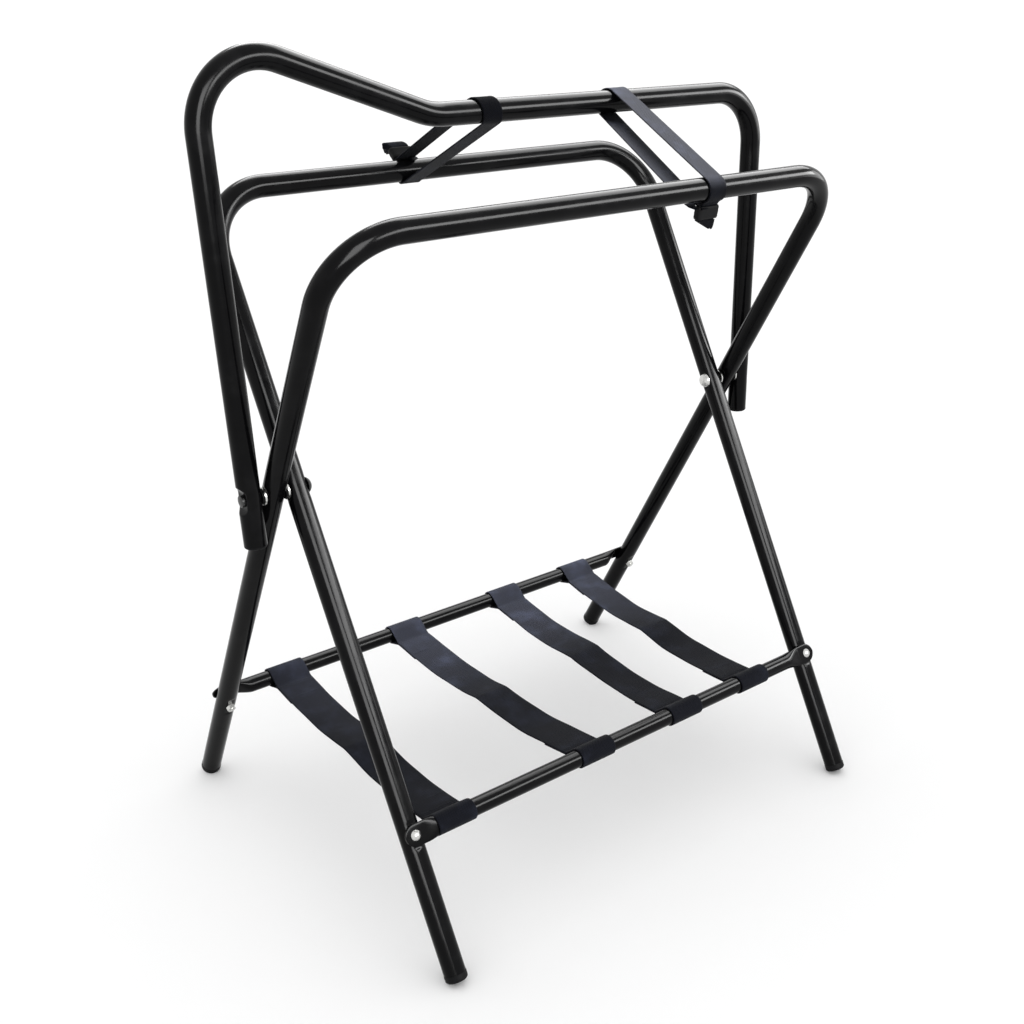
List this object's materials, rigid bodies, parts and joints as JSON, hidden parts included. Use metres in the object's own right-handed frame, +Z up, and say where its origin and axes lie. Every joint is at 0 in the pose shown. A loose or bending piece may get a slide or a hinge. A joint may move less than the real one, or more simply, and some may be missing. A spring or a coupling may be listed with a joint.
{
  "type": "folding saddle rack",
  "caption": "Free-standing folding saddle rack of bent black steel tube: crossed leg frames, a saddle spine with a raised pommel loop, and a webbing shelf between lower rails.",
  "frame": {"origin": "on the floor under the middle of the rack's box", "axes": "X runs along the spine with the raised pommel loop at -X, -Y is the side of the front shelf rail, Z is up"},
  "size_m": [0.7913, 0.5746, 0.9504],
  "materials": {
    "black_paint": "gloss",
    "webbing": "woven matte",
    "plastic": "matte",
    "black_oxide": "satin",
    "zinc": "bright zinc plate"
  },
  "bodies": {
    "spine": {"spine_tube": "black_paint", "spine_plug_left": "plastic", "spine_plug_right": "plastic"},
    "inner": {"inner_leg_frame": "black_paint", "front_rail": "black_paint", "inner_foot_left": "plastic", "inner_foot_right": "plastic", "front_rail_bolts": "zinc", "front_rail_nuts": "zinc", "pivot_bolt_left": "black_oxide", "pivot_bolt_right": "black_oxide", "cap_nut_left": "black_oxide", "cap_nut_right": "zinc", "inner_steel_washers": "zinc", "inner_nylon_washers": "plastic", "shelf_strap_1": "webbing", "shelf_strap_2": "webbing", "shelf_strap_3": "webbing", "shelf_strap_4": "webbing", "rear_tie_strap": "webbing", "rear_slider": "plastic"},
    "outer": {"outer_leg_frame": "black_paint", "rear_rail": "black_paint", "outer_foot_left": "plastic", "outer_foot_right": "plastic", "rear_rail_bolts": "zinc", "rear_rail_nuts": "zinc", "outer_steel_washers": "zinc", "outer_nylon_washers": "plastic", "front_tie_strap": "webbing", "front_slider": "plastic"}
  },
  "joints": [
    {"name": "inner_fold", "type": "hinge", "parent": "spine", "child": "inner", "pos_m": [0.00529, 0, 0.5], "axis": [1, 0, 0], "range_deg": [0, 26], "deforming": ["shelf_strap_1", "shelf_strap_2", "shelf_strap_3", "shelf_strap_4", "rear_tie_strap"]},
    {"name": "outer_fold", "type": "hinge", "parent": "spine", "child": "outer", "pos_m": [0.00529, 0, 0.5], "axis": [-1, 0, 0], "range_deg": [0, 26], "deforming": ["front_tie_strap"]}
  ],
  "couplings": [
    {"joint": "outer_fold", "follows": "inner_fold", "ratio": 1}
  ]
}
